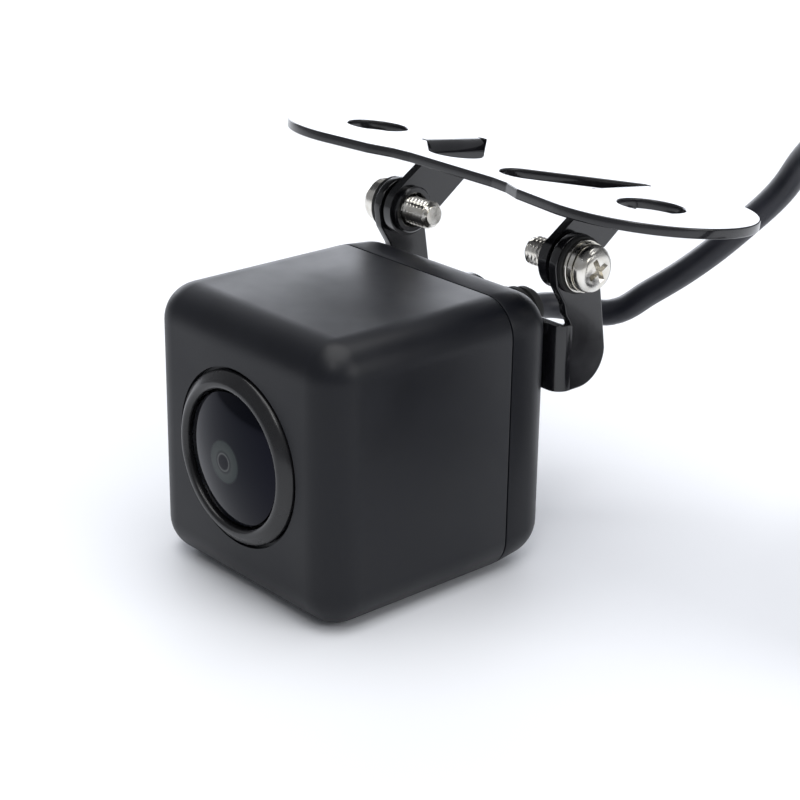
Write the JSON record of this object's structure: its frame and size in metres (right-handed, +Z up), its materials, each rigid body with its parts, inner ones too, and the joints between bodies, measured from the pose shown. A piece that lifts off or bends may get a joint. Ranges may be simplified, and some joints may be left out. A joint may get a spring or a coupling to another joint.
{
  "type": "backup camera",
  "caption": "Cube-shaped vehicle rear-view camera with a domed lens, on a bent bracket and tilting mounting plate, with a coiled pigtail cord and round connector.",
  "frame": {"origin": "centre of the camera body's bottom face, which stands on the surface", "axes": "+Z up, the lens looks along -Y, +X to the right of a viewer behind the lens' image plane looking along +Y, along the tilt pivot"},
  "size_m": [0.1135, 0.0758, 0.0463],
  "materials": {
    "body_plastic": "fine moulded grain, satin edges",
    "bezel_plastic": "smooth black",
    "front_glass": "polished, violet-blue coating",
    "inner_glass": "polished",
    "black_anodised": "black anodised",
    "seal_rubber": "matte",
    "painted_steel": "gloss black paint",
    "nickel": "nickel plated, fine turning marks",
    "zinc_steel": "zinc plated",
    "contact_brass": "plain",
    "board_laminate": "green solder mask",
    "chip_plastic": "matte",
    "connector_plastic": "satin black",
    "contact_insert": "dark grey",
    "cord_jacket": "satin black jacket"
  },
  "bodies": {
    "camera_body": {"aperture_ring": "black_anodised", "barrel_lock_ring": "black_anodised", "barrel_seal": "seal_rubber", "board_connector": "connector_plastic", "board_screw_left": "zinc_steel", "board_screw_right": "zinc_steel", "board_spacer_left": "contact_brass", "board_spacer_right": "contact_brass", "bracket_screw_left": "zinc_steel", "bracket_screw_right": "zinc_steel", "cable_gland": "seal_rubber", "capacitor": "zinc_steel", "case_seal": "seal_rubber", "connector_body": "connector_plastic", "connector_insert": "contact_insert", "connector_pin_1": "contact_brass", "connector_pin_2": "contact_brass", "connector_pin_3": "contact_brass", "connector_pin_4": "contact_brass", "cord": "cord_jacket", "cord_coil": "cord_jacket", "cord_header": "connector_plastic", "cord_tail": "cord_jacket", "cord_tie": "connector_plastic", "cover_screw_1": "zinc_steel", "cover_screw_2": "zinc_steel", "cover_screw_3": "zinc_steel", "cover_screw_4": "zinc_steel", "front_glass": "front_glass", "front_shell": "body_plastic", "image_sensor": "chip_plastic", "inner_leads": "cord_jacket", "ir_filter": "inner_glass", "lens_barrel": "black_anodised", "lens_bezel": "bezel_plastic", "lens_holder": "bezel_plastic", "main_board": "board_laminate", "power_coil": "chip_plastic", "rear_cover": "body_plastic", "rear_lens": "inner_glass", "second_lens": "inner_glass", "sensor_board": "board_laminate", "third_lens": "inner_glass", "u_bracket": "painted_steel", "video_chip": "chip_plastic"},
    "plate_assembly": {"mounting_plate": "painted_steel", "friction_washer_left": "seal_rubber", "friction_washer_right": "seal_rubber", "flat_washer_left": "nickel", "flat_washer_right": "nickel", "spring_washer_left": "nickel", "spring_washer_right": "nickel"},
    "left_screw": {"pivot_screw_left": "nickel"},
    "right_screw": {"pivot_screw_right": "nickel"}
  },
  "joints": [
    {"name": "plate_tilt", "type": "hinge", "parent": "camera_body", "child": "plate_assembly", "pos_m": [0, 0.0169, 0.0307], "axis": [1, 0, 0], "range_deg": [-55, 58]},
    {"name": "left_screw_turn", "type": "hinge", "parent": "plate_assembly", "child": "left_screw", "pos_m": [-0.0125, 0.0169, 0.0307], "axis": [1, 0, 0], "continuous": true},
    {"name": "right_screw_turn", "type": "hinge", "parent": "plate_assembly", "child": "right_screw", "pos_m": [0.0125, 0.0169, 0.0307], "axis": [1, 0, 0], "continuous": true}
  ]
}
